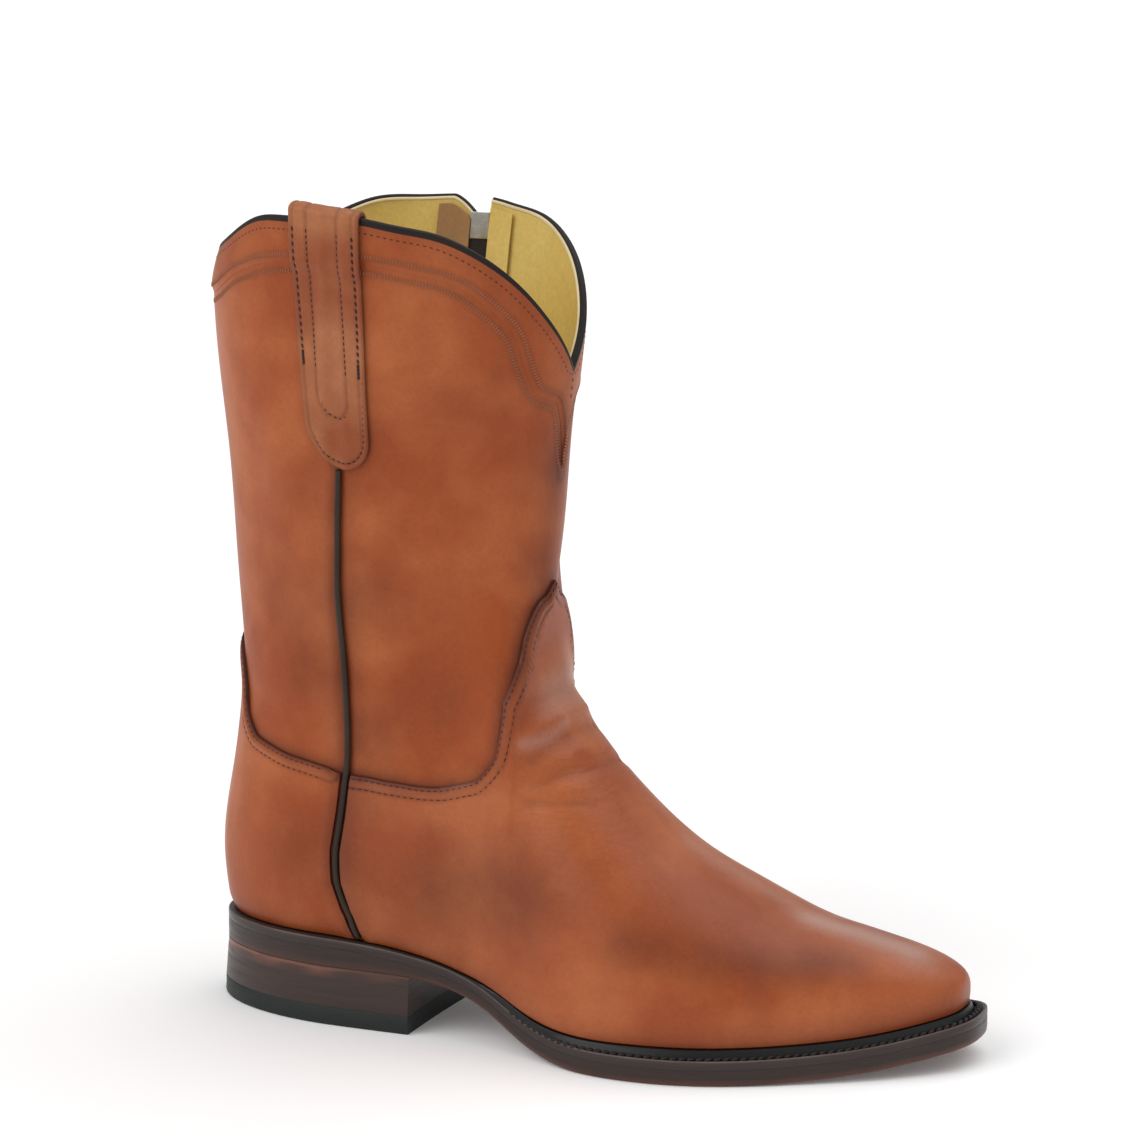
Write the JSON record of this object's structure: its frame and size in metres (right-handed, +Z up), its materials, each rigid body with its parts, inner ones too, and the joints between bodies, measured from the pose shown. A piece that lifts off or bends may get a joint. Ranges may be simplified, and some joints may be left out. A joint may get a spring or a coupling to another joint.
{
  "type": "roper boot",
  "caption": "Right-foot leather roper boot with round toe, low block heel, medial zip and one pull strap.",
  "frame": {"origin": "on the floor under the heel, at the heel's rest face", "axes": "+X from heel to toe, +Y to the medial side, +Z up"},
  "size_m": [0.2956, 0.1161, 0.3055],
  "materials": {
    "leather_upper": "aniline cognac leather, soft satin",
    "leather_vamp": "aniline cognac leather, soft satin",
    "leather_counter": "aniline cognac leather, soft satin",
    "leather_collar": "aniline cognac leather, burnished edge",
    "leather_strap": "aniline cognac leather, soft satin",
    "leather_binding": "dark brown binding leather",
    "leather_piping": "dark brown piping leather",
    "zip_tape": "woven tape",
    "zip_coil": "coil zip",
    "zip_metal": "bright nickel",
    "pull_metal": "bright nickel",
    "insole_leather": "natural lining leather",
    "welt_leather": "dark stained welt leather",
    "sole_leather": "dark stained sole leather, waxed edge",
    "stack_leather": "stacked leather, dark stained",
    "heel_rubber": "rubber top lift"
  },
  "bodies": {
    "boot": {"upper": "leather_upper", "vamp": "leather_vamp", "heel_counter": "leather_counter", "collar_band": "leather_collar", "pull_strap": "leather_strap", "top_binding": "leather_binding", "side_piping": "leather_piping", "zip_tape": "zip_tape", "zip_coil": "zip_coil", "zip_slider": "zip_metal", "insole": "insole_leather", "welt": "welt_leather", "outsole": "sole_leather", "heel_stack": "stack_leather", "heel_lift": "heel_rubber"},
    "pull_tab": {"zip_pull": "pull_metal"}
  },
  "joints": [
    {"name": "zip_pull_hinge", "type": "hinge", "parent": "boot", "child": "pull_tab", "pos_m": [0.04433, 0.05609, 0.28908], "axis": [0.9973, -0.0731, 0], "range_deg": [-5, 165]}
  ]
}
